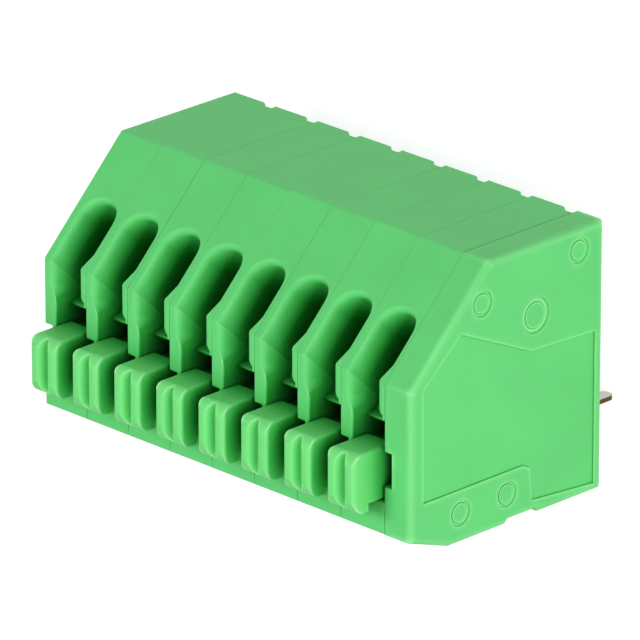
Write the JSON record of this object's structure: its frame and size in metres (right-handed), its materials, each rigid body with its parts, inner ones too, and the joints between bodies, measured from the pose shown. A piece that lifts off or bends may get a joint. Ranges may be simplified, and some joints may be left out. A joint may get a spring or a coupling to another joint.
{
  "type": "pcb terminal block",
  "caption": "Row of stacked spring-clamp wire terminals for a circuit board, with angled wire entries, push buttons on top, a closing end cover and flat solder pins.",
  "frame": {"origin": "middle of the block's footprint on the board's face", "axes": "+Z away from the board, X along the row with the end cover at the -X end, wire entries on the -Y side"},
  "size_m": [0.03, 0.0166, 0.0222],
  "materials": {
    "housing": "satin moulded polyamide",
    "button": "satin moulded polyamide",
    "spring": "bright rolled spring steel",
    "contact": "tin-plated copper alloy"
  },
  "bodies": {
    "block": {"housing_1": "housing", "housing_2": "housing", "housing_3": "housing", "housing_4": "housing", "housing_5": "housing", "housing_6": "housing", "housing_7": "housing", "housing_8": "housing", "end_cover": "housing", "spring_1": "spring", "spring_2": "spring", "spring_3": "spring", "spring_4": "spring", "spring_5": "spring", "spring_6": "spring", "spring_7": "spring", "spring_8": "spring", "contact_1": "contact", "contact_2": "contact", "contact_3": "contact", "contact_4": "contact", "contact_5": "contact", "contact_6": "contact", "contact_7": "contact", "contact_8": "contact"},
    "button_1": {"button_1": "button"},
    "button_2": {"button_2": "button"},
    "button_3": {"button_3": "button"},
    "button_4": {"button_4": "button"},
    "button_5": {"button_5": "button"},
    "button_6": {"button_6": "button"},
    "button_7": {"button_7": "button"},
    "button_8": {"button_8": "button"}
  },
  "joints": [
    {"name": "button_1_press", "type": "slide", "parent": "block", "child": "button_1", "axis": [0, 0, -1], "range_m": [0, 0.00085], "stiffness_N_per_m": 1500, "springref_m": -0.001, "deforming": ["spring_1"]},
    {"name": "button_2_press", "type": "slide", "parent": "block", "child": "button_2", "axis": [0, 0, -1], "range_m": [0, 0.00085], "stiffness_N_per_m": 1500, "springref_m": -0.001, "deforming": ["spring_2"]},
    {"name": "button_3_press", "type": "slide", "parent": "block", "child": "button_3", "axis": [0, 0, -1], "range_m": [0, 0.00085], "stiffness_N_per_m": 1500, "springref_m": -0.001, "deforming": ["spring_3"]},
    {"name": "button_4_press", "type": "slide", "parent": "block", "child": "button_4", "axis": [0, 0, -1], "range_m": [0, 0.00085], "stiffness_N_per_m": 1500, "springref_m": -0.001, "deforming": ["spring_4"]},
    {"name": "button_5_press", "type": "slide", "parent": "block", "child": "button_5", "axis": [0, 0, -1], "range_m": [0, 0.00085], "stiffness_N_per_m": 1500, "springref_m": -0.001, "deforming": ["spring_5"]},
    {"name": "button_6_press", "type": "slide", "parent": "block", "child": "button_6", "axis": [0, 0, -1], "range_m": [0, 0.00085], "stiffness_N_per_m": 1500, "springref_m": -0.001, "deforming": ["spring_6"]},
    {"name": "button_7_press", "type": "slide", "parent": "block", "child": "button_7", "axis": [0, 0, -1], "range_m": [0, 0.00085], "stiffness_N_per_m": 1500, "springref_m": -0.001, "deforming": ["spring_7"]},
    {"name": "button_8_press", "type": "slide", "parent": "block", "child": "button_8", "axis": [0, 0, -1], "range_m": [0, 0.00085], "stiffness_N_per_m": 1500, "springref_m": -0.001, "deforming": ["spring_8"]}
  ]
}
